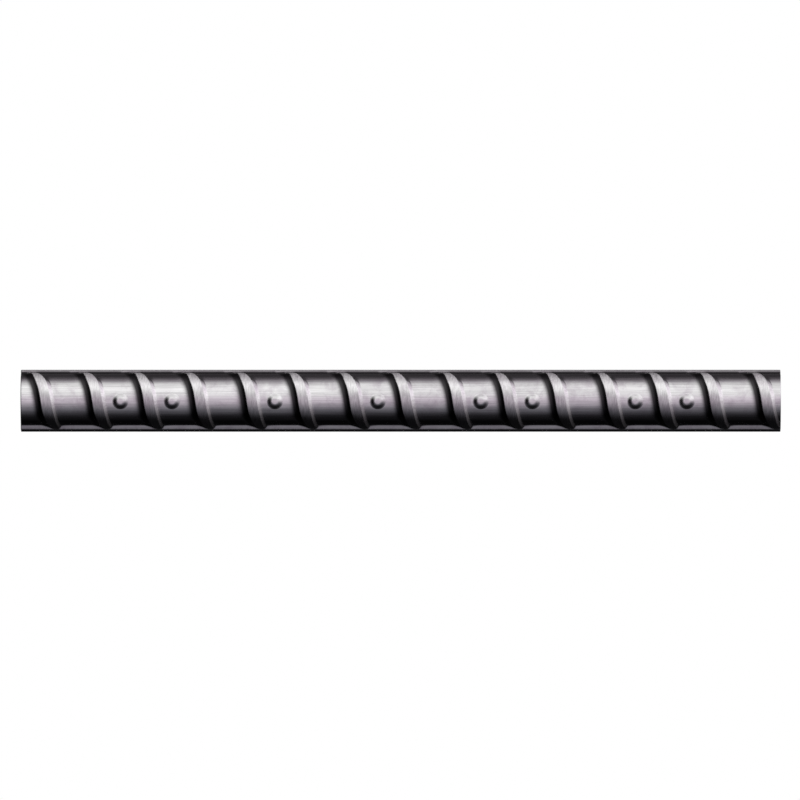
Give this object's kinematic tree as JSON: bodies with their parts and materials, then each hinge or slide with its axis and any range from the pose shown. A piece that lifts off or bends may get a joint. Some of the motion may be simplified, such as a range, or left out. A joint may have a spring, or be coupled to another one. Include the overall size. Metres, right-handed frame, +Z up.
{
  "type": "reinforcing bar",
  "caption": "Short cut length of deformed steel reinforcing bar with longitudinal and slanted transverse ribs, for embedding in concrete.",
  "frame": {"origin": "on the bar's axis, halfway along its length", "axes": "+X along the bar; +Z up, through the crest of the upper longitudinal rib; the side that carries the rolled marks faces -Y"},
  "size_m": [0.125, 0.0096, 0.0102],
  "materials": {
    "rolled_steel": "dark hot-rolled steel, brushed along the barrel, satin"
  },
  "bodies": {
    "root": {"bar": "rolled_steel"}
  },
  "joints": []
}
